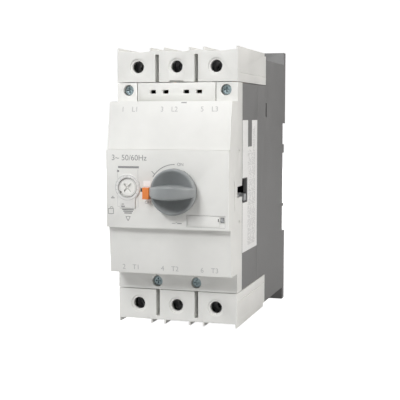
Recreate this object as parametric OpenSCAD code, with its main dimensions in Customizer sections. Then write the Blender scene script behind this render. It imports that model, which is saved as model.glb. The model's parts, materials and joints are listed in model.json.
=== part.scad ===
/* [Case] */
// Width of the breaker
case_w = 70; // [69:0.5:71]
// Height over the terminal covers above the rail centre
cover_top = 78.6; // [78.2:0.1:78.8]
// Depth of the lower terminal cover below the rail centre
cover_bottom = 74.6; // [74.4:0.1:74.8]
// Half height of the mounting flange
flange_half = 82.5; // [82:0.5:84]
// Thickness of the mounting flange
flange_t = 6; // [5:0.5:6.5]
// Wall thickness of the mouldings
wall = 2.4; // [2:0.1:2.6]

/* [Front] */
// Distance of the terminal face from the mounting plane
terminal_face = 125.4; // [125:0.1:126]
// Distance of the face plate from the mounting plane
plate_face = 142.9; // [142.5:0.1:143]
// Thickness of the raised face plate
plate_t = 3.3; // [3:0.1:3.5]
// Height of the joint between the front cover and the upper terminal cover
joint_up = 59.1; // [59:0.1:59.5]
// Depth of the joint between the front cover and the lower terminal cover
joint_low = 57; // [56.8:0.1:57.2]

/* [Poles] */
// Distance between neighbouring poles
pole_pitch = 22.75; // [22.5:0.05:22.75]
// Radius of the screwdriver holes
access_r = 3.4; // [3:0.1:3.6]

/* [Operating parts] */
// Sideways place of the knob axis
knob_x = 4.7; // [4.5:0.1:5]
// Radius of the knob
knob_r = 12.6; // [12:0.1:13]
// Height of the knob above the face plate
knob_h = 15.1; // [14:0.1:16]
// Radius of the crank that lifts the contacts
crank_r = 6; // [5.9:0.1:6]
// Sideways place of the setting dial
dial_x = -22.5; // [-23:0.1:-22]
// Height of the setting dial
dial_z = 1.7; // [1:0.1:2]

/* [Mounting] */
// Radius of the panel screw holes
panel_hole_r = 2.4; // [2.2:0.1:2.6]
// Sideways distance between the panel screw holes
panel_dx = 30; // [28:1:32]
// Upright distance between the panel screw holes
panel_dz = 157; // [156.5:0.5:157.5]

/* [Hidden] */
$fn = 48;
e = 0.01;
hw = case_w / 2;
inner = hw - wall;
cover_back = 58.1;
flange_back = 115;
split_y = 80;
base_half = 74.6;
recess_half = 36;
recess_t = 7.5;
floor_y = 12;
rail_half = 17.5;
poles = [-pole_pitch, 0, pole_pitch];
ribs = [-pole_pitch / 2, pole_pitch / 2];
rib_h_up = 1.8;
rib_h_low = 2.2;
cover_wall = 2.2;
joint_gap = 0.35;
cover_inside_up = cover_top - rib_h_up - cover_wall;
cover_inside_low = -cover_bottom + cover_wall;
cage_half = 5.6;
up_screw_z = 67.9;
low_screw_z = -65.7;
screw_z = [up_screw_z, up_screw_z, up_screw_z, low_screw_z, low_screw_z, low_screw_z];
knob_back = plate_face + 0.3;
knob_front = knob_back + knob_h - 0.3;
shaft_r = 4;
shaft_tip_r = 3;
run = 0.06;
lift = crank_r * sqrt(2);
pin_z = -crank_r / sqrt(2);
pin_x = knob_x - crank_r / sqrt(2);
pin_r = 2;
seat_y = plate_face - plate_t;
brow_z = 22.6;
bridge_z = 18;
fixed_z = bridge_z + 3 + lift + 0.07;
tab_w = 6.3;

TERMINAL_NODES = [for (i = [1:6]) for (kind = ["terminal_screw_", "pressure_plate_"]) str(kind, i)];
POLE_NODES = [
    for (i = [1:3])
        for (kind = ["contact_bridge_", "line_conductor_", "load_contact_", "coil_", "plunger_"])
            str(kind, i)
];

// ---- helpers ----

// A block between two corners
module block(x0, x1, y0, y1, z0, z1) {
    translate([x0, y0, z0]) cube([x1 - x0, y1 - y0, z1 - z0]);
}

// A round bar along Y, from the nearer to the further distance behind the front
module bar_y(x, z, r, y0, y1) {
    translate([x, y1, z]) rotate([90, 0, 0]) cylinder(r = r, h = y1 - y0);
}

// A round bar along X
module bar_x(y, z, r, x0, x1) {
    translate([x0, y, z]) rotate([0, 90, 0]) cylinder(r = r, h = x1 - x0);
}

// An outline in the Y-Z plane, drawn out across the width from x0 to x1
module side_outline(points, x0, x1) {
    translate([x0, 0, 0]) rotate([90, 0, 90]) linear_extrude(x1 - x0) polygon(points);
}

// An open coil spring standing along Z on the origin
module coil_spring(r, wire, height, turns) {
    steps = 12;
    sides = 6;
    count = turns * steps;
    points = [
        for (i = [0:count], j = [0:sides - 1])
            let (a = 360 * i / steps, b = 360 * j / sides, reach = r + wire * cos(b))
            [reach * cos(a), reach * sin(a), wire + (height - 2 * wire) * i / count + wire * sin(b)]
    ];
    walls = [
        for (i = [0:count - 1], j = [0:sides - 1])
            let (k = (j + 1) % sides)
            [i * sides + j, (i + 1) * sides + j, (i + 1) * sides + k, i * sides + k]
    ];
    first = [for (j = [0:sides - 1]) j];
    last = [for (j = [sides - 1:-1:0]) count * sides + j];
    polyhedron(points, concat(walls, [first, last]));
}

// ---- case ----

// Pads that stand on the panel above and below the rail, with the flange ends
module mounting_pads() {
    for (side = [-1, 1]) {
        low = side > 0 ? recess_half : -base_half;
        high = side > 0 ? base_half : -recess_half;
        block(-hw, hw, -recess_t - e, 0, low, high);
        block(-hw, hw, -flange_t, 0, side > 0 ? base_half - e : -flange_half,
              side > 0 ? flange_half : -base_half + e);
    }
}

// Hooks over the upper edge of the rail, and stops under its lower edge
module rail_hook() {
    for (x = [-34.5, 12.5]) {
        block(x, x + 22, -recess_t - e, -0.8, rail_half + 0.2, 22);
        block(x, x + 22, -6.2, -0.8, rail_half - 1.1, rail_half + 0.3);
    }
    for (x = [-34.5, 26.5]) block(x, x + 8, -recess_t - e, -0.8, -rail_half - 2, -rail_half - 0.2);
}

// Guides for the sprung rail latch
module latch_guides() {
    for (side = [-1, 1]) {
        near = side > 0 ? 10.3 : -13.2;
        lip = side > 0 ? 8.8 : -13.2;
        block(near, near + 2.9, -recess_t - e, -0.8, -34, -21);
        block(lip, lip + 4.4, -2.7, -0.8, -34, -21);
    }
    block(-1.8, 1.8, -recess_t - e, -3.6, -30, -28.5);
}

module rear_base() color([0.5, 0.5, 0.5]) {
    difference() {
        union() {
            block(-hw, hw, -split_y, -recess_t, -joint_low, joint_up);
            block(-hw, hw, -cover_back, -recess_t, -base_half, base_half);
            block(-inner, inner, -69.6, -cover_back + e, joint_up - e, cover_inside_up - 0.1);
            block(-inner, inner, -69.6, -cover_back + e, cover_inside_low + 0.7, -joint_low + e);
            mounting_pads();
        }
        difference() {
            union() {
                block(-inner, inner, -split_y - 1, -floor_y, -joint_low + wall, joint_up - wall);
                block(-inner, inner, -cover_back + wall, -floor_y, -base_half + wall, base_half - wall);
            }
            for (x = ribs) block(x - 1, x + 1, -split_y, -floor_y, -base_half, base_half);
        }
        for (x = poles) {
            block(x - 5.5, x + 5.5, -74.6, -71.4, joint_up - wall - 1, joint_up + 1);
            block(x - 5.5, x + 5.5, -74.6, -71.4, -joint_low - 1, -joint_low + wall + 1);
        }
        for (x = ribs) {
            block(x - 2, x + 2, -78, -62, -20, -4);
            block(x - 2, x + 2, -59, -50, -38, -31);
        }
        for (x = [-1, 1], z = [-1, 1])
            bar_y(x * panel_dx / 2, z * panel_dz / 2, panel_hole_r, -flange_t - 1, 1);
        block(-13.5, 13.5, -recess_t, 1, -42, -recess_half + 1);
        for (side = [-1, 1]) {
            low = side > 0 ? 42 : -70;
            for (x = [-22, 0, 22]) block(x - 8, x + 8, -5, 1, low + (side > 0 ? 4 : 0), low + 24);
        }
        block(hw - wall - 1, hw + 1, -57.9, -55.1, 40.2, 48.7);
    }
    rail_hook();
    latch_guides();
}

module middle_case() color([0.52, 0.52, 0.52]) difference() {
    block(-hw, hw, -flange_back, -split_y, -joint_low, joint_up);
    block(-inner, inner, -flange_back - 1, -split_y + 1, -joint_low + wall, joint_up - wall);
    block(inner - 1, hw + 1, -flange_back - 1, -103.8, -7.5, 5.7);
}

// Side view of the hood; each step is one edge of the moulding
function hood_outline(inset) = [
    [-flange_back + (inset > 0 ? 1 : 0), -joint_low + inset],
    [-terminal_face + inset, -joint_low + inset],
    [-terminal_face + inset, -46.2 + inset],
    [-137.4 + inset, -46.2 + inset],
    [-seat_y + inset, -20.4 - inset / 2],
    [-seat_y + inset, 24.6],
    [-136.8 + inset, 48.7 - inset],
    [-terminal_face + inset, 48.7 - inset],
    [-terminal_face + inset, joint_up - inset],
    [-flange_back + (inset > 0 ? 1 : 0), joint_up - inset]
];

cover_screw_places = [[-28.4, 55], [28.4, 55], [-11.7, -52.5], [11.2, -52.5]];

// Hollow hood, thickened above the face plate, with posts for the mechanism frame and screw bosses
module hood_shell() {
    difference() {
        side_outline(hood_outline(0), -hw, hw);
        side_outline(hood_outline(wall), -inner, inner);
    }
    side_outline([[-seat_y + 1, brow_z], [-plate_face + 1.4, brow_z], [-plate_face + 2.2, brow_z + 3.9],
                  [-136.8, 48.7], [-135.8, 48.7], [-seat_y + 1, 26]], -hw, hw);
    for (x = [-13, 13], z = [-22, 22]) bar_y(knob_x + x, z, 3, -seat_y + 1, -118);
    for (p = cover_screw_places) bar_y(p[0], p[1], 4, -terminal_face + 1, -flange_back - 0.2);
}

module front_cover() color([0.9, 0.9, 0.88]) difference() {
    hood_shell();
    bar_y(knob_x, 0, 5.5, -seat_y - 1, -130);
    bar_y(dial_x, dial_z, 3 + run, -seat_y - 1, -130);
    block(30.2, 32.4, -seat_y - 1, -130, -16.2, -13.3);
    for (p = cover_screw_places) {
        bar_y(p[0], p[1], 3.1, -terminal_face - 1, -terminal_face + 4.2);
        bar_y(p[0], p[1], 1.5, -terminal_face + 4, -flange_back);
    }
    block(-23.3, 22.95, -terminal_face - 1, -terminal_face + 1.6, 48.5, joint_up + 1);
    block(-20, 20, -terminal_face - 1, -terminal_face + 4, 50.5, 57.6);
    for (p = [[-11.7, -52.5], [11.2, -52.5]])
        block(p[0] - 0.9, p[0] + 0.9, -terminal_face - 1, -terminal_face + 1, p[1], -46.4);
    block(hw - 0.6, hw + 1, -132.3, -131.5, -10.6, 5.7);
    block(hw - wall - 1, hw + 1, -terminal_face, -flange_back + 1, -4, 2.1);
    for (z = [21.6, -17.5]) bar_x(-124.1 + 3, z, 0.9, hw - 0.5, hw + 1);
}

module face_plate() color([0.89, 0.89, 0.87]) difference() {
    block(-hw, hw, -plate_face, -seat_y, -20.4, brow_z - 0.1);
    bar_y(knob_x, 0, 5.5, -plate_face - 1, -seat_y + 1);
    bar_y(dial_x, dial_z, 5.3, -plate_face - 1, -seat_y + 1);
    block(11.6, 32.6, -plate_face - 1, -plate_face + 0.4, -18.7, -12.6);
    block(30.2, 32.4, -plate_face - 1, -seat_y + 1, -16.2, -13.3);
}

// Clear keyhole-shaped surround of the dial
module dial_window() color([0.86, 0.86, 0.8, 0.6]) translate([dial_x, -plate_face, dial_z])
    rotate([90, 0, 0]) linear_extrude(0.6) difference() {
        union() {
            circle(r = 7.4);
            translate([-4.6, -11.2]) square([9.2, 11.2]);
        }
        circle(r = 5.3);
    }

module label_insert() color([0.8, 0.8, 0.78])
    block(11.8, 29.8, -plate_face + 0.1, -plate_face + 0.4, -18.5, -12.8);

module side_label() color([0.92, 0.92, 0.91]) difference() {
    block(hw, hw + 0.15, -flange_back + 0.4, -80.4, -36, 38.4);
    block(hw - 1, hw + 1, -102.5, -93, 23.3, 39);
    block(hw - 1, hw + 1, -flange_back - 1, -103.4, -7.9, 6.1);
}

// Upright ribs that guide the wires, along the outer face of both terminal covers
entry_rib_x = [-34.5, -15.3, -7.2, 7.4, 15.6, 34.5];
dish_r = 50;

// Cover over one row of three terminals; side is 1 above and -1 below
module terminal_cover(side, outer, joint, screw_at, rib_h) {
    inside_z = outer - side * cover_wall;
    difference() {
        union() {
            difference() {
                block(-hw, hw, -terminal_face, -cover_back, min(joint, outer), max(joint, outer));
                block(-hw + cover_wall, hw - cover_wall, -terminal_face + 3, -cover_back + 1,
                      min(joint - side, inside_z), max(joint - side, inside_z));
                if (side > 0) for (x = poles)
                    bar_y(x, outer - 0.7 + dish_r, dish_r, -terminal_face - 1, -cover_back + 1);
            }
            for (x = ribs, s = [-1, 1])
                block(x + s * 1.65 - 0.6, x + s * 1.65 + 0.6, -terminal_face + 1, -102,
                      min(joint, inside_z + side), max(joint, inside_z + side));
            for (x = entry_rib_x)
                block(x - 0.5, x + 0.5, -terminal_face, -62, min(outer - side, outer + side * rib_h),
                      max(outer - side, outer + side * rib_h));
        }
        for (x = poles) {
            bar_y(x, screw_at, access_r, -terminal_face - 1, -terminal_face + 4);
            bar_y(x, screw_at, access_r + 1.2, -terminal_face - 1, -terminal_face + 0.5);
            block(x - 7.6, x + 7.6, -99.5, -73, min(inside_z - side, outer + side),
                  max(inside_z - side, outer + side));
        }
        for (x = ribs)
            block(x - 1.05, x + 1.05, -terminal_face - 1, -103, min(joint - side, inside_z),
                  max(joint - side, inside_z));
        if (side > 0) block(-4, 3.8, -terminal_face - 1, -terminal_face + 1.8, joint - 1, joint + 0.9);
        block(hw - 0.4, hw + 1, -120, -60, joint + side * 4.7 - 0.3, joint + side * 4.7 + 0.3);
    }
}

module upper_terminal_cover() color([0.94, 0.94, 0.92])
    terminal_cover(1, cover_top - rib_h_up, joint_up + joint_gap, up_screw_z, rib_h_up);

module lower_terminal_cover() color([0.86, 0.85, 0.83])
    terminal_cover(-1, -cover_bottom, -joint_low - joint_gap, low_screw_z, rib_h_low);

module auxiliary_cover() color([0.91, 0.91, 0.89]) difference() {
    union() {
        block(-22.9, 22.5, -terminal_face, -terminal_face + 1.5, 48.9, joint_up);
        block(-19.5, 19.5, -terminal_face + 1, -terminal_face + 3, 51, 57.2);
    }
    for (x = [-13.8, -6.4, 5.6, 13.1])
        block(x - 1.65, x + 1.65, -terminal_face - 1, -terminal_face + 4, 53.1, 55.1);
}

module cover_screws() color([0.75, 0.75, 0.76]) for (p = cover_screw_places) {
    difference() {
        union() {
            bar_y(p[0], p[1], 2.6, -terminal_face + 2.2, -terminal_face + 4.2);
            bar_y(p[0], p[1], 1.5, -terminal_face + 4, -flange_back - 0.4);
        }
        for (flat = [[1.6, 0.35], [0.35, 1.6]])
            block(p[0] - flat[0], p[0] + flat[0], -terminal_face + 1, -terminal_face + 3.2,
                  p[1] - flat[1], p[1] + flat[1]);
    }
}

module din_latch() color([0.35, 0.35, 0.35]) difference() {
    union() {
        block(-10, 10, -7.2, -3, -38.5, -rail_half - 0.2);
        block(-8, 8, -6.2, -0.8, -22, -rail_half + 1.1);
    }
    block(-2.2, 2.2, -8, 0, -30.4, -19.5);
    block(-4, 4, -8, 0, -37.5, -34.5);
}

module din_latch_spring() color([0.7, 0.7, 0.7]) translate([0, -5.5, -28.5])
    coil_spring(1.2, 0.3, 8.8, 7);

// ---- knob and dial ----

// Grip seen from the front: bowed long sides, as high as half_h in the middle
module grip_outline(r, half_h, bow, depth) {
    side_r = (r * r + bow * bow) / (2 * bow);
    intersection() {
        bar_y(knob_x, side_r - half_h, side_r, -knob_back - depth, -knob_back, $fn = 128);
        bar_y(knob_x, half_h - side_r, side_r, -knob_back - depth, -knob_back, $fn = 128);
        bar_y(knob_x, 0, r, -knob_back - depth, -knob_back);
    }
}

module knob() color([0.58, 0.6, 0.6]) difference() {
    arch_r = (knob_r * knob_r + 100) / 20;
    union() {
        difference() {
            bar_y(knob_x, 0, knob_r, -knob_back - 5, -knob_back);
            for (side = [-1, 1]) intersection() {
                bar_y(knob_x, 0, knob_r - 1.8, -knob_back - 6, -knob_back - 1.6);
                block(knob_x - 14, knob_x + 14, -knob_back - 6, -knob_back,
                      side > 0 ? 0 : -14, side > 0 ? 14 : 0);
            }
        }
        intersection() {
            grip_outline(knob_r, 3.65, 1.35, knob_h - 0.3);
            translate([knob_x, -knob_front + arch_r, -5]) cylinder(r = arch_r, h = 10, $fn = 96);
        }
    }
    block(knob_x - 14, knob_x - 4.6, -147, -144.4, -2, 2);
    bar_y(knob_x, 0, shaft_tip_r, -152, -knob_back + 1);
}

module lock_tab() color([0.9, 0.45, 0.2]) {
    block(knob_x - 16.9, knob_x - knob_r - 0.5, -147.9, -144.1, -tab_w + 2.2, 2.2);
    block(knob_x - knob_r - 0.6, knob_x - 5, -146.7, -144.7, -1.7, 1.7);
}

module knob_shaft() color([0.7, 0.7, 0.72]) {
    bar_y(knob_x, 0, shaft_tip_r, -152, -knob_back + 0.2);
    bar_y(knob_x, 0, shaft_r, -knob_back + 0.1, -103);
    bar_y(knob_x, 0, 9, -104, -100.5);
    bar_y(pin_x, pin_z, pin_r, -101, -96.8);
}

module setting_dial() color([0.93, 0.92, 0.85]) difference() {
    union() {
        bar_y(dial_x, dial_z, 5, -plate_face, -plate_face + 2);
        bar_y(dial_x, dial_z, 3, -plate_face + 1, -116);
    }
    for (turn = [-1, 1]) translate([dial_x, -plate_face, dial_z]) rotate([0, turn * 45, 0])
        block(-2.9, 2.9, -1, 1.2, -0.5, 0.5);
}

module dial_cam() color([0.75, 0.75, 0.6]) {
    bar_y(dial_x, dial_z, 6, -116, -113);
    block(dial_x, dial_x + 8, -116, -113, dial_z - 2, dial_z + 2);
}

module test_button() color([0.25, 0.25, 0.26])
    block(30.5, 32.1, -plate_face + 0.3, -131, -15.9, -13.6);

// ---- mechanism ----

module mechanism_frame() color([0.7, 0.72, 0.74]) difference() {
    union() {
        block(knob_x - 17, knob_x + 17, -118, -116.5, -26, 26);
        for (side = [-1, 1])
            block(knob_x + side * 16.2 - 0.8, knob_x + side * 16.2 + 0.8, -117, -94, -26, 26);
    }
    bar_y(knob_x, 0, shaft_r + run, -119, -115);
    bar_x(-100, -20, 2 + run, knob_x - 20, knob_x + 20);
}

module drive_slide() color([0.3, 0.32, 0.35]) difference() {
    union() {
        block(-8, 8, -99.5, -96.5, -12, 7);
        block(-8, 8, -96.6, -92, -6, 3);
    }
    block(knob_x - crank_r - pin_r - 0.5, pin_x + pin_r + 0.5, -100, -96,
          pin_z - pin_r - 0.3, pin_z + pin_r + 0.3);
}

module latch_lever() color([0.65, 0.65, 0.67]) {
    bar_x(-100, -20, 2, knob_x - 18, knob_x + 18);
    block(2, 7.4, -100, -76, -21.2, -18.6);
}

module contact_carrier() color([0.25, 0.27, 0.3]) {
    block(-31.5, 31.5, -92, -86, -6, 3);
    for (x = poles) {
        block(x - 3.5, x + 3.5, -86.1, -46, -6, 3);
        difference() {
            block(x - 5, x + 5, -53, -47, -6, 23);
            block(x - 3.4, x + 3.4, -54, -46, 3, bridge_z + 1.65);
        }
    }
}

module contact_springs() color([0.75, 0.75, 0.78])
    for (x = poles) translate([x, -50, 3]) coil_spring(2, 0.35, bridge_z - 3, 7);

module opening_springs() color([0.75, 0.75, 0.78])
    for (x = [-29, 29]) translate([x, -89, -30]) coil_spring(2, 0.35, 24, 10);

module auxiliary_lever() color([0.55, 0.57, 0.58]) {
    block(28, 31.4, -112, -92, -6, -3);
    block(28, 34.6, -109, -104.2, -7.1, -3.1);
}

module trip_bar() color([0.3, 0.3, 0.32]) {
    bar_x(-70, -12, 3, -31.5, 31.5);
    for (x = poles) {
        block(x - 3, x + 3, -70, -58.5, -13.5, -10.5);
        block(x - 3, x + 3, -60.3, -58.5, -27, -10.5);
    }
    block(2, 7.4, -80.5, -70, -13.5, -11);
}

module trip_slider() color([0.85, 0.83, 0.75]) {
    block(-29, 30.5, -57, -52, -36, -33);
    for (x = poles) block(x - 5.6, x - 4.1, -52.1, -43, -36, -33);
}

// ---- conducting parts, one set a pole ----

module contact_bridge(x) color([0.8, 0.5, 0.35]) {
    block(x - 3, x + 3, -64, -36, bridge_z, bridge_z + 1.6);
    for (y = [-61, -39]) block(x - 2.5, x + 2.5, y - 1.5, y + 1.5, bridge_z + 1.5, bridge_z + 3);
}

module line_conductor(x) color([0.8, 0.5, 0.35]) {
    block(x - 5, x + 5, -74, -72, fixed_z + 0.45, 73);
    block(x - 5, x + 5, -74, -58, fixed_z + 0.45, fixed_z + 2.45);
    block(x - 2.5, x + 2.5, -62.5, -59.5, fixed_z, fixed_z + 0.6);
}

module load_contact(x) color([0.8, 0.5, 0.35]) {
    block(x - 5, x + 5, -42, -18, fixed_z + 0.45, fixed_z + 2.45);
    block(x - 2.5, x + 2.5, -40.5, -37.5, fixed_z, fixed_z + 0.6);
    block(x - 5, x + 5, -20, -18, -12, fixed_z + 2.45);
}

module coil(x) color([0.75, 0.42, 0.25]) {
    difference() {
        union() {
            bar_y(x, -22, 8.5, -48.4, -28);
            block(x - 8.8, x + 8.8, -50, -48.4, -31, -13);
            block(x - 8.8, x + 8.8, -28, -26.4, -31, -13);
            block(x - 4, x + 4, -26.5, -floor_y, -24, -20);
        }
        bar_y(x, -22, 3 + run, -51, -28);
    }
}

module plunger(x) color([0.7, 0.72, 0.74]) bar_y(x, -22, 3, -55, -30);

module bimetals() color([0.72, 0.7, 0.62])
    for (x = poles) block(x - 3.6, x - 2.8, -50, -44, -50, -32);

module load_conductors() color([0.8, 0.5, 0.35]) for (x = poles) {
    block(x - 5, x + 5, -74, -72, -71.5, -50);
    block(x - 5, x + 5, -74, -43, -52, -50);
}

// One arc chute: steel plates between two insulating sides
module chute(x, y0, y1) {
    for (i = [0:5]) block(x - 8.3, x + 8.3, y0, y1, 15 + 2.5 * i, 16 + 2.5 * i);
    for (side = [-1, 1])
        block(x + side * 8.6 - 0.5, x + side * 8.6 + 0.5, y0, y1, 14, 29.5);
}

module arc_chutes() color([0.6, 0.6, 0.62]) for (x = poles) {
    chute(x, -71.4, -65);
    chute(x, -35, -21);
}

// ---- terminals ----

module terminal_cage(x, z) difference() {
    block(x - 7.4, x + 7.4, -101, -69.6, z - cage_half, z + cage_half);
    block(x - 5.8, x + 5.8, -98.5, -71.4, z - 7, z + 7);
    bar_y(x, z, 3.5 + run, -102, -98);
}

module terminal_cages() color([0.72, 0.73, 0.75])
    for (z = [up_screw_z, low_screw_z], x = poles) terminal_cage(x, z);

module terminal_screw(i) color([0.72, 0.73, 0.75]) difference() {
    x = poles[i % 3];
    z = screw_z[i];
    union() {
        bar_y(x, z, 3.5, -111, -97.9);
        bar_y(x, z, 5, -115, -110);
    }
    bar_y(x, z, 2.3, -116, -112, $fn = 6);
}

module pressure_plate(i) color([0.66, 0.67, 0.7])
    block(poles[i % 3] - 5.4, poles[i % 3] + 5.4, -97.9, -95.9, screw_z[i] - 5.4, screw_z[i] + 5.4);

// ---- output ----

rear_base();
middle_case();
front_cover();
face_plate();
upper_terminal_cover();
lower_terminal_cover();
auxiliary_cover();
cover_screws();
dial_window();
label_insert();
side_label();
din_latch();
din_latch_spring();
knob();
lock_tab();
knob_shaft();
setting_dial();
dial_cam();
test_button();
mechanism_frame();
drive_slide();
latch_lever();
contact_carrier();
contact_springs();
opening_springs();
auxiliary_lever();
trip_bar();
trip_slider();
bimetals();
load_conductors();
arc_chutes();
terminal_cages();
for (i = [1:3]) {
    x = poles[i - 1];
    contact_bridge(x);
    line_conductor(x);
    load_contact(x);
    coil(x);
    plunger(x);
}
for (i = [1:6]) {
    terminal_screw(i - 1);
    pressure_plate(i - 1);
}
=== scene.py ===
"""Looks of the rotary motor-protection circuit breaker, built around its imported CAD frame.

Metres, in the row frame: +X right seen from the front, +Y into the panel, +Z up.
"""
import json
import math

import bmesh
import bpy
from mathutils import Matrix, Vector


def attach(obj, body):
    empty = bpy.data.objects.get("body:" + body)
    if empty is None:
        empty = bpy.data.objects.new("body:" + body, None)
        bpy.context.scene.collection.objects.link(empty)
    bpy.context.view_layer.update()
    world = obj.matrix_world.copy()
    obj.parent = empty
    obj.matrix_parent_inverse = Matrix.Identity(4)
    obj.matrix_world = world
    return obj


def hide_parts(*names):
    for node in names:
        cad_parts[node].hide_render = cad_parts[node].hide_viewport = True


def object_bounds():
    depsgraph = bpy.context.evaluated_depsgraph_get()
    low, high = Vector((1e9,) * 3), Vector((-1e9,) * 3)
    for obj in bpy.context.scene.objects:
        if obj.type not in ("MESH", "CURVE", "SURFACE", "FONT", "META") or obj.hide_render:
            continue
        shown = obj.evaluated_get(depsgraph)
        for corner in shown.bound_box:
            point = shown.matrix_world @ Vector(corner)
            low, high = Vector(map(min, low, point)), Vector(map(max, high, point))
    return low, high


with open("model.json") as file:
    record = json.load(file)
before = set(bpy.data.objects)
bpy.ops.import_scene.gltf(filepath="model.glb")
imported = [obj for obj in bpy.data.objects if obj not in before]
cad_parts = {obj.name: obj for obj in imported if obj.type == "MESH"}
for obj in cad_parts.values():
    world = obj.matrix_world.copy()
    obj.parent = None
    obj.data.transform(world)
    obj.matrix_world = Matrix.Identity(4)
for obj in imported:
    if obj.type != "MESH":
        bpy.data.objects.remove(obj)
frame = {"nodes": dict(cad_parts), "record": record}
cad_box = [list(corner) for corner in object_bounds()]
nodes = frame["nodes"]
MM = 0.001


# ---------------------------------------------------------------- camera, light and stage

def make_camera():
    data = bpy.data.cameras.new("camera")
    data.lens = 83.2
    data.sensor_width = 36.0
    data.clip_start = 0.01
    camera = bpy.data.objects.new("camera", data)
    bpy.context.scene.collection.objects.link(camera)
    camera.location = (0.16316, -0.61351, 0.03971)
    direction = Vector((-0.29182, 0.95236, -0.08860))
    camera.rotation_euler = direction.to_track_quat("-Z", "Y").to_euler()
    bpy.context.scene.camera = camera


def area_light(name, place, target, size, power, colour=(1, 1, 1)):
    data = bpy.data.lights.new(name, "AREA")
    data.shape = "RECTANGLE"
    data.size, data.size_y = size
    data.energy = power
    data.color = colour
    light = bpy.data.objects.new(name, data)
    bpy.context.scene.collection.objects.link(light)
    light.location = place
    aim = Vector(target) - Vector(place)
    light.rotation_euler = aim.to_track_quat("-Z", "Y").to_euler()


def make_lights():
    centre = (0, -0.08, 0)
    area_light("key", (-0.4, -0.95, 0.7), centre, (0.4, 0.3), 7.0)
    area_light("key_high", (-0.2, -0.7, 1.1), centre, (0.4, 0.3), 4.0)
    area_light("front_fill", (-0.5, -1.3, 0.35), centre, (0.9, 0.9), 1.0)
    area_light("side_fill", (1.3, -0.25, 0.55), centre, (0.7, 0.9), 15, (1.0, 0.98, 0.96))
    area_light("left_fill", (-1.3, -0.1, 0.4), centre, (0.8, 0.8), 7)
    area_light("back_fill", (-0.7, 1.3, 0.5), centre, (0.8, 0.8), 15)
    world = bpy.data.worlds.new("studio")
    bpy.context.scene.world = world
    world.use_nodes = True
    background = world.node_tree.nodes["Background"]
    background.inputs["Color"].default_value = (1, 1, 1, 1)
    # White behind the object, without lighting it
    seen = world.node_tree.nodes.new("ShaderNodeLightPath").outputs["Is Camera Ray"]
    world.node_tree.links.new(seen, background.inputs["Strength"])
    bpy.context.scene.view_settings.view_transform = "Standard"
    bpy.context.scene.view_settings.look = "None"


def make_stage():
    """A white round floor that sweeps up on every side, bright only to the camera."""
    low = cad_box[0][2] - 0.0005    # just under the object
    reach, rise, bend, turns, bend_steps = 3.2, 3.0, 0.8, 48, 12
    profile = [(0.02, low), (reach, low)]
    for i in range(1, bend_steps + 1):
        a = math.pi / 2 * i / bend_steps
        profile.append((reach + bend * math.sin(a), low + bend * (1 - math.cos(a))))
    profile.append((reach + bend, low + rise))
    mesh = bpy.data.meshes.new("floor")
    verts = [(r * math.cos(2 * math.pi * j / turns), r * math.sin(2 * math.pi * j / turns), z)
             for r, z in profile for j in range(turns)]
    faces = [list(reversed(range(turns)))]
    for i in range(len(profile) - 1):
        for j in range(turns):
            k = (j + 1) % turns
            faces.append([i * turns + j, (i + 1) * turns + j, (i + 1) * turns + k, i * turns + k])
    mesh.from_pydata(verts, [], faces)
    for polygon in mesh.polygons:
        polygon.use_smooth = True
    floor = bpy.data.objects.new("floor", mesh)
    bpy.context.scene.collection.objects.link(floor)
    material = bpy.data.materials.new("floor_white")
    material.use_nodes = True
    tree = material.node_tree
    shader = tree.nodes["Principled BSDF"]
    shader.inputs["Base Color"].default_value = (0.5, 0.5, 0.5, 1)
    shader.inputs["Roughness"].default_value = 0.9
    seen = tree.nodes.new("ShaderNodeLightPath").outputs["Is Camera Ray"]
    shader.inputs["Emission Color"].default_value = (1, 1, 1, 1)
    tree.links.new(seen, shader.inputs["Emission Strength"])
    mesh.materials.append(material)


# ---------------------------------------------------------------- materials

class Graph:
    """Short names for building one material's node tree."""

    def __init__(self, name):
        self.material = bpy.data.materials.new(name)
        self.material.use_nodes = True
        self.tree = self.material.node_tree
        self.shader = self.tree.nodes["Principled BSDF"]
        self.place = self.tree.nodes.new("ShaderNodeTexCoord").outputs["Object"]

    def link(self, out, into):
        self.tree.links.new(out, into)

    def set(self, **values):
        for name, value in values.items():
            self.shader.inputs[name.replace("_", " ")].default_value = value

    def mapped(self, scale):
        node = self.tree.nodes.new("ShaderNodeMapping")
        node.inputs["Scale"].default_value = scale
        self.link(self.place, node.inputs["Vector"])
        return node.outputs["Vector"]

    def noise(self, scale, detail=3.0, rough=0.55, vector=None):
        node = self.tree.nodes.new("ShaderNodeTexNoise")
        node.inputs["Scale"].default_value = scale
        node.inputs["Detail"].default_value = detail
        node.inputs["Roughness"].default_value = rough
        self.link(vector or self.place, node.inputs["Vector"])
        return node.outputs["Fac"]

    def ramp(self, value, low, high, at=(0.3, 0.7)):
        node = self.tree.nodes.new("ShaderNodeValToRGB")
        for stop, colour, position in zip(node.color_ramp.elements, (low, high), at):
            stop.color = (*colour, 1)
            stop.position = position
        self.link(value, node.inputs["Fac"])
        return node.outputs["Color"]

    def span(self, value, low, high):
        node = self.tree.nodes.new("ShaderNodeMapRange")
        node.inputs["From Min"].default_value = 0.3
        node.inputs["From Max"].default_value = 0.7
        node.inputs["To Min"].default_value = low
        node.inputs["To Max"].default_value = high
        self.link(value, node.inputs["Value"])
        return node.outputs["Result"]

    def bump(self, height, distance, strength=0.4, under=None):
        node = self.tree.nodes.new("ShaderNodeBump")
        node.inputs["Strength"].default_value = strength
        node.inputs["Distance"].default_value = distance
        self.link(height, node.inputs["Height"])
        if under:
            self.link(under, node.inputs["Normal"])
        self.link(node.outputs["Normal"], self.shader.inputs["Normal"])
        return node.outputs["Normal"]


def shade(colour, factor):
    return tuple(min(1, c * factor) for c in colour)


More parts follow.
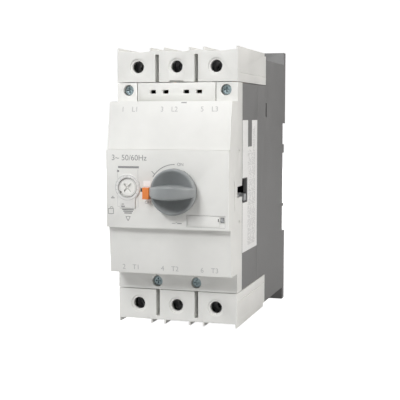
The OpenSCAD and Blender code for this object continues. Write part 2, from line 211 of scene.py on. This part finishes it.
def moulded(name, colour, rough=0.45, grain=0.00003, spread=0.03, coat=0.0):
    """Injection-moulded plastic: fine spark-eroded grain over slow flow marks."""
    g = Graph(name)
    flow = g.noise(60, 4)
    grain_map = g.noise(2600, 2)
    g.link(g.ramp(flow, shade(colour, 1 - spread), shade(colour, 1 + spread)),
           g.shader.inputs["Base Color"])
    g.link(g.span(flow, rough - 0.05, rough + 0.06), g.shader.inputs["Roughness"])
    waves = g.bump(g.noise(35, 2), 0.0002, 0.12)
    g.bump(grain_map, grain, 0.5, waves)
    g.set(Specular_IOR_Level=0.42, Coat_Weight=coat, IOR=1.5)
    return g.material


def metal(name, colour, rough=0.3, streak=(900, 60, 900), body=1.0):
    """Plated or rolled metal with fine streaks and duller patches."""
    g = Graph(name)
    patches = g.noise(140, 4)
    streaks = g.noise(1.0, 3, vector=g.mapped(streak))
    g.link(g.ramp(patches, shade(colour, 0.86), shade(colour, 1.08)), g.shader.inputs["Base Color"])
    g.link(g.span(streaks, rough - 0.08, rough + 0.14), g.shader.inputs["Roughness"])
    g.bump(streaks, 0.00002, 0.3)
    g.set(Metallic=body)
    return g.material


def film(name, colour, rough=0.4):
    """Printed label film with a faint fibre."""
    g = Graph(name)
    fibre = g.noise(1.0, 3, vector=g.mapped((1500, 300, 1500)))
    g.link(g.ramp(fibre, shade(colour, 0.97), shade(colour, 1.02)), g.shader.inputs["Base Color"])
    g.link(g.span(fibre, rough - 0.04, rough + 0.05), g.shader.inputs["Roughness"])
    g.bump(g.noise(1800, 2), 0.00001, 0.2)
    return g.material


def ink(name, colour):
    """Pad-printed ink, a little uneven; the bright white batch of it is a painted highlight, not
    ink.
    """
    g = Graph(name)
    cover = g.noise(1400, 3)
    g.link(g.ramp(cover, colour, shade(colour, 1.25)), g.shader.inputs["Base Color"])
    g.link(g.span(cover, 0.45, 0.62), g.shader.inputs["Roughness"])
    return g.material


def clear(name, colour):
    """Clear moulded plastic over a light backing."""
    g = Graph(name)
    haze = g.noise(300, 3)
    g.link(g.ramp(haze, shade(colour, 0.96), colour), g.shader.inputs["Base Color"])
    g.link(g.span(haze, 0.08, 0.2), g.shader.inputs["Roughness"])
    g.bump(g.noise(120, 2), 0.0001, 0.1)
    g.set(Transmission_Weight=0.12, IOR=1.49, Specular_IOR_Level=0.6)
    return g.material


MATERIALS = {
    "white_moulding": moulded("white_moulding", (0.80, 0.80, 0.775), 0.42),
    "grey_moulding": moulded("grey_moulding", (0.215, 0.215, 0.215), 0.55, 0.00005, 0.05),
    "knob_grey": moulded("knob_grey", (0.27, 0.285, 0.29), 0.4, 0.00003, 0.04),
    "orange_tab": moulded("orange_tab", (0.86, 0.26, 0.065), 0.38),
    "ivory_plastic": moulded("ivory_plastic", (0.86, 0.86, 0.83), 0.35),
    "dark_plastic": moulded("dark_plastic", (0.035, 0.035, 0.04), 0.45),
    "light_grey_plastic": moulded("light_grey_plastic", (0.40, 0.41, 0.42), 0.42),
    "black_steel": metal("black_steel", (0.50, 0.50, 0.51), 0.45, body=0.4),
    "blue_zinc": metal("blue_zinc", (0.40, 0.50, 0.53), 0.36, body=0.7),
    "zinc_steel": metal("zinc_steel", (0.60, 0.60, 0.61), 0.32),
    "copper": metal("copper", (0.72, 0.40, 0.24), 0.34),
    "label_film": film("label_film", (0.90, 0.90, 0.89)),
    "clear_plastic": clear("clear_plastic", (0.93, 0.93, 0.91)),
}
INK = ink("print_grey", (0.27, 0.27, 0.27))
PALE_INK = ink("print_pale", (0.44, 0.44, 0.44))
DARK_INK = ink("print_dark", (0.06, 0.06, 0.06))
# Painted highlight: a brighter white than the plate, standing in for light catching the spot above
# the lock tab
PAINTED_HIGHLIGHT = ink("painted_highlight_white", (0.93, 0.93, 0.92))

# Width of the rounded edges, by node, in millimetres
EDGE = {
    "front_cover": 0.7, "face_plate": 0.5, "upper_terminal_cover": 0.5, "lower_terminal_cover": 0.5,
    "auxiliary_cover": 0.25, "rear_base": 0.45, "middle_case": 0.35, "lock_tab": 0.6,
    "setting_dial": 0.3, "cover_screws": 0.2, "dial_window": 0.2, "din_latch": 0.3,
    "auxiliary_lever": 0.4, "test_button": 0.25, "label_insert": 0.1, "knob": 0.6,
}
DEFAULT_EDGE = 0.12


def round_edges(piece, width):
    """Welds the mesh, joins its flat triangles, and rounds every edge sharper than 25 degrees."""
    for polygon in piece.data.polygons:
        polygon.use_smooth = True
    weld = piece.modifiers.new("weld", "WELD")
    weld.merge_threshold = 0.000002
    flat = piece.modifiers.new("flat", "DECIMATE")
    flat.decimate_type = "DISSOLVE"
    flat.angle_limit = math.radians(0.4)
    bevel = piece.modifiers.new("edge", "BEVEL")
    bevel.width = width * MM
    bevel.segments = 3
    bevel.limit_method = "ANGLE"
    bevel.angle_limit = math.radians(25)
    bevel.use_clamp_overlap = True
    bevel.harden_normals = True


def dress_cad_nodes():
    slots = {s["node"]: s["material_slot"] for s in frame["record"]["subparts"]}
    for name, piece in nodes.items():
        piece.data.materials.clear()
        piece.data.materials.append(MATERIALS[slots[name]])
        if name.endswith("spring") or name.endswith("springs"):
            for polygon in piece.data.polygons:
                polygon.use_smooth = True
            continue
        round_edges(piece, EDGE.get(name, DEFAULT_EDGE))


# ---------------------------------------------------------------- meshes made here

def new_piece(name, verts, faces, material, body, smooth=False):
    """A mesh piece from millimetre points, riding on a body."""
    mesh = bpy.data.meshes.new(name)
    mesh.from_pydata([tuple(c * MM for c in v) for v in verts], [], faces)
    builder = bmesh.new()
    builder.from_mesh(mesh)
    bmesh.ops.remove_doubles(builder, verts=builder.verts, dist=1e-7)
    bmesh.ops.recalc_face_normals(builder, faces=builder.faces)
    builder.to_mesh(mesh)
    builder.free()
    mesh.materials.append(material)
    for polygon in mesh.polygons:
        polygon.use_smooth = smooth
    piece = bpy.data.objects.new(name, mesh)
    bpy.context.scene.collection.objects.link(piece)
    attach(piece, body)
    return piece


KNOB_X, PLATE_Y = 4.7, -142.9
KNOB_R, KNOB_FOOT, KNOB_TOP = 12.6, -143.2, -158.0
FILM = 0.05    # thickness of a printed mark
SINK = 0.02    # how far a printed mark starts below its surface
WINDOW = 0.6    # thickness of the clear dial window
INSERT_SINK = 0.1    # how far the label insert lies below the plate


class Sheet:
    """A plane on the case that marks are printed on; u runs right and v up, in millimetres."""

    def __init__(self, origin, right, up):
        self.origin, self.right, self.up = Vector(origin), Vector(right), Vector(up)
        self.out = self.right.cross(self.up)

    def point(self, u, v, height):
        return tuple(self.origin + self.right * u + self.up * v + self.out * height)


def prints(name, sheet, outlines, material, body="case"):
    """Thin marks with the given closed convex outlines, all in one piece."""
    verts, faces = [], []
    for outline in outlines:
        n, base = len(outline), len(verts)
        verts += [sheet.point(u, v, -SINK) for u, v in outline]
        verts += [sheet.point(u, v, FILM - SINK) for u, v in outline]
        faces.append([base + n + i for i in range(n)])
        faces.append([base + n - 1 - i for i in range(n)])
        faces += [[base + i, base + (i + 1) % n, base + n + (i + 1) % n, base + n + i]
                  for i in range(n)]
    return new_piece(name, verts, faces, material, body)


def bar(u0, v0, u1, v1):
    return [(u0, v0), (u1, v0), (u1, v1), (u0, v1)]


def stroke(a, b, width):
    """A straight line of the given width between two points."""
    along = (Vector(b) - Vector(a)).normalized()
    side = Vector((-along.y, along.x)) * width / 2
    return [tuple(Vector(a) + side), tuple(Vector(a) - side),
            tuple(Vector(b) - side), tuple(Vector(b) + side)]


def path(points, width, closed=False):
    pairs = list(zip(points, points[1:] + points[:1] if closed else points[1:]))
    return [stroke(a, b, width) for a, b in pairs]


def arc(centre, radius, start, end, width, steps=24):
    """Short strokes along an arc; angles in degrees, counted anticlockwise from the right."""
    places = [(centre[0] + radius * math.cos(math.radians(start + (end - start) * i / steps)),
               centre[1] + radius * math.sin(math.radians(start + (end - start) * i / steps)))
              for i in range(steps + 1)]
    return path(places, width)


def words(name, sheet, text, u, v, size, material, body="case"):
    """Generic printed characters, as a thin text piece."""
    curve = bpy.data.curves.new(name, "FONT")
    curve.body = text
    curve.size = size * MM
    curve.extrude = FILM / 2 * MM
    curve.align_x = "CENTER"
    curve.align_y = "CENTER"
    curve.materials.append(material)
    piece = bpy.data.objects.new(name, curve)
    bpy.context.scene.collection.objects.link(piece)
    turn = Matrix((sheet.right, sheet.up, sheet.out)).transposed().to_4x4()
    piece.matrix_world = Matrix.Translation(Vector(sheet.point(u, v, 0)) * MM) @ turn
    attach(piece, body)
    return piece


def make_knob():
    """Dished disc with a rounded rim, and a bowed grip across it with rounded edges."""
    dish = [(10.6 * i / 10, 0.9 + 3.5 * (i / 10) ** 2.2) for i in range(11)]
    rim = [(10.9, 4.6), (11.3, 4.9), (11.9, 4.95), (12.25, 4.8), (12.5, 4.45), (12.6, 4.0),
           (12.6, 0.9), (12.45, 0.75), (12.45, 0.0)]
    profile = dish + rim
    turns = 96
    verts, faces = [], []
    for r, h in profile:
        for j in range(turns):
            a = 2 * math.pi * j / turns
            verts.append((KNOB_X + r * math.cos(a), KNOB_FOOT - h, r * math.sin(a)))
    for i in range(len(profile) - 1):
        for j in range(turns):
            k = (j + 1) % turns
            faces.append([i * turns + j, i * turns + k, (i + 1) * turns + k, (i + 1) * turns + j])
    base = len(verts)
    columns, fillet, grip_r, drop = 40, 1.1, 12.52, 10
    tall = KNOB_FOOT - KNOB_TOP
    # Radius of the grip's crown, an arc that drops by this much from its middle to the rim
    arch = (KNOB_R ** 2 + drop ** 2) / (2 * drop)
    for c in range(columns + 1):
        x = grip_r * math.sin(math.pi / 2 * (2 * c / columns - 1))
        half = 2.3 + 1.35 * (1 - (x / KNOB_R) ** 2)
        half = min(half, math.sqrt(max(KNOB_R ** 2 - x * x, 0)) + 0.35)
        top = tall - (arch - math.sqrt(arch ** 2 - x * x))
        ring = [(-half - 0.25, 0.6), (-half, 2.0)]
        for k in range(6):
            a = math.pi / 2 * k / 5
            ring.append((-half + fillet * (1 - math.cos(a)), top - fillet * (1 - math.sin(a))))
        ring += [(0, top + 0.05)] + [(-z, h) for z, h in reversed(ring)]
        section = len(ring)
        verts += [(KNOB_X + x, KNOB_FOOT - h, z) for z, h in ring]
    for c in range(columns):
        for k in range(section - 1):
            i = base + c * section + k
            faces.append([i, i + 1, i + section + 1, i + section])
    faces.append([base + k for k in range(section)])
    faces.append([base + columns * section + k for k in reversed(range(section))])
    knob = new_piece("knob_moulding", verts, faces, MATERIALS["knob_grey"],
                     "knob", True)
    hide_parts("knob")
    split = knob.modifiers.new("creases", "EDGE_SPLIT")
    split.split_angle = math.radians(38)


def make_prints():
    plate = Sheet((0, PLATE_Y, 0), (1, 0, 0), (0, 0, 1))
    centre = (KNOB_X, 0)
    marks = arc(centre, 14.7, 90, 148, 0.42, 30)
    marks.append(stroke((KNOB_X - 11.6, 9.4), (KNOB_X - 13.2, 10.9), 0.35))
    prints("plate_arc", plate, marks, INK)
    words("mark_on", plate, "ON", 7.9, 14.7, 2.3, INK)
    words("mark_off", plate, "OFF", -10.6, -6.2, 2.2, INK)
    # Painted highlight: a bright white patch above the lock tab, not a print
    prints("plate_painted_highlight", plate, [bar(-13.2, 2.6, -9.2, 5.6)], PAINTED_HIGHLIGHT)
    prints("plate_pointer", plate, [bar(-14.9, -0.5, -13.5, 1.5)], DARK_INK)
    words("rating", plate, "3~ 50/60Hz", -21.6, 17.9, 4.3, INK)
    dial = (-22.5, 1.7)
    scale = [bar(-28.0, 12.3, -15.8, 13.4), bar(-28.6, 10.1, -27.4, 11.2)]
    prints("dial_heading", plate, scale, INK)
    frame_line = path([(-28.3, 11.6), (-28.3, -8.9), (-16.4, -8.9), (-16.4, 11.6)], 0.16)
    prints("dial_frame", plate, frame_line, PALE_INK)
    triangle = [bar(-25.7 + 0.6 * i, -10.7 - 0.95 * i, -18.9 - 0.6 * i, -10.1 - 0.95 * i)
                for i in range(3)]
    tip = path([(-23.6, -14.2), (-22.3, -16.6), (-21.0, -14.2)], 0.3, True)
    prints("dial_arrow", plate, triangle + tip, INK)
    box = path([(-33.9, -12.9), (-30.9, -12.9), (-30.9, -10.1), (-33.9, -10.1)], 0.28, True)
    box += arc((-32.0, -9.9), 0.85, 0, 180, 0.25, 10)
    prints("lock_mark", plate, box, INK)
    prints("lock_note", plate, [bar(-32.3, -4.4, -30.2, -3.9), bar(-31.8, -3.5, -30.8, -3.2)], INK)
    symbol = [bar(3.0, -17.3, 4.6, -17.05), stroke((4.6, -17.15), (6.0, -16.5), 0.22),
              bar(6.1, -17.4, 8.6, -16.9)]
    prints("test_mark", plate, symbol, INK)
    insert_line = path([(11.3, -18.9), (32.9, -18.9), (32.9, -12.4), (11.3, -12.4)], 0.14, True)
    prints("insert_frame", plate, insert_line, PALE_INK)
    insert = Sheet((0, PLATE_Y + INSERT_SINK, 0), (1, 0, 0), (0, 0, 1))
    prints("insert_mark", insert, [bar(28.9, -15.6, 29.4, -14.0)], DARK_INK)
    window = Sheet((0, PLATE_Y - WINDOW, 0), (1, 0, 0), (0, 0, 1))
    rings = arc(dial, 6.9, 0, 360, 0.22, 48) + arc(dial, 5.5, 0, 360, 0.3, 48)
    for i in range(13):    # ticks over 240 degrees, every third one longer
        a = math.radians(-30 + 240 * i / 12)
        inner_r, outer_r = (5.8, 6.6) if i % 3 else (5.7, 6.9)
        inner = (dial[0] + inner_r * math.cos(a), dial[1] + inner_r * math.sin(a))
        outer = (dial[0] + outer_r * math.cos(a), dial[1] + outer_r * math.sin(a))
        rings.append(stroke(inner, outer, 0.25))
    prints("dial_scale", window, rings, PALE_INK)
    notes = [bar(-26.0, -9.0, -24.0, -8.3), bar(-25.7, -7.6, -24.4, -7.2)]
    prints("dial_notes", window, notes, INK)
    edge = arc(dial, 4.5, 0, 360, 0.2, 40)
    prints("dial_edge", plate, edge, PALE_INK, "dial")
    pointer = [[(dial[0] - 4.3, dial[1] - 1.9), (dial[0] - 3.2, dial[1] - 2.6),
                (dial[0] - 4.2, dial[1] - 3.0)]]
    prints("dial_pointer", plate, pointer, DARK_INK, "dial")


def tilted(z0, y0, z1, y1):
    """The sloping face of the hood whose lower edge is (y0, z0) and upper edge (y1, z1)."""
    up = Vector((0, y1 - y0, z1 - z0)).normalized()
    return Sheet((0, y0, z0), (1, 0, 0), up)


def make_terminal_marks():
    upper = tilted(26.5, -140.7, 48.7, -136.8)
    lower = tilted(-46.2, -137.4, -20.4, -139.6)
    pole = 22.75
    for i in range(3):
        x = pole * (i - 1)
        words(f"line_number_{i + 1}", upper, str(2 * i + 1), x - 4.2, 18.0, 3.9, PALE_INK)
        words(f"line_name_{i + 1}", upper, f"L{i + 1}", x + 2.9, 18.0, 3.9, PALE_INK)
        words(f"load_number_{i + 1}", lower, str(2 * i + 2), x - 4.2, 3.2, 3.9, PALE_INK)
        words(f"load_name_{i + 1}", lower, f"T{i + 1}", x + 3.0, 3.2, 3.9, PALE_INK)
    prints("hood_note", upper, [bar(6.6, 21.4, 9.6, 21.9)], INK)


def make_label_lines():
    """Rows of short faint dashes that stand for small print, running up the side label."""
    label = Sheet((35.15, -97.5, 0), (0, 1, 0), (0, 0, 1))
    rows = []
    for row in range(9):
        u = -5.0 + 1.9 * row + (0.6 if row > 4 else 0)
        v, step = -33.0, 0
        while v < 34:
            length = 0.7 + 0.5 * ((row * 7 + step * 5) % 4)
            clear_of_slot = not (-6.0 < u < 5.5 and v + length > 22.0)    # the slot in the label
            clear_of_notch = not (u < -4.6 and -9.5 < v < 8.0)
            if clear_of_slot and clear_of_notch and (row * 3 + step) % 9 != 8:
                rows.append(bar(u, v, u + 0.55, v + length))
            v += length + 0.45
            step += 1
    prints("label_print", label, rows, PALE_INK)


make_camera()
make_lights()
make_stage()
dress_cad_nodes()
make_knob()
make_prints()
make_terminal_marks()
make_label_lines()
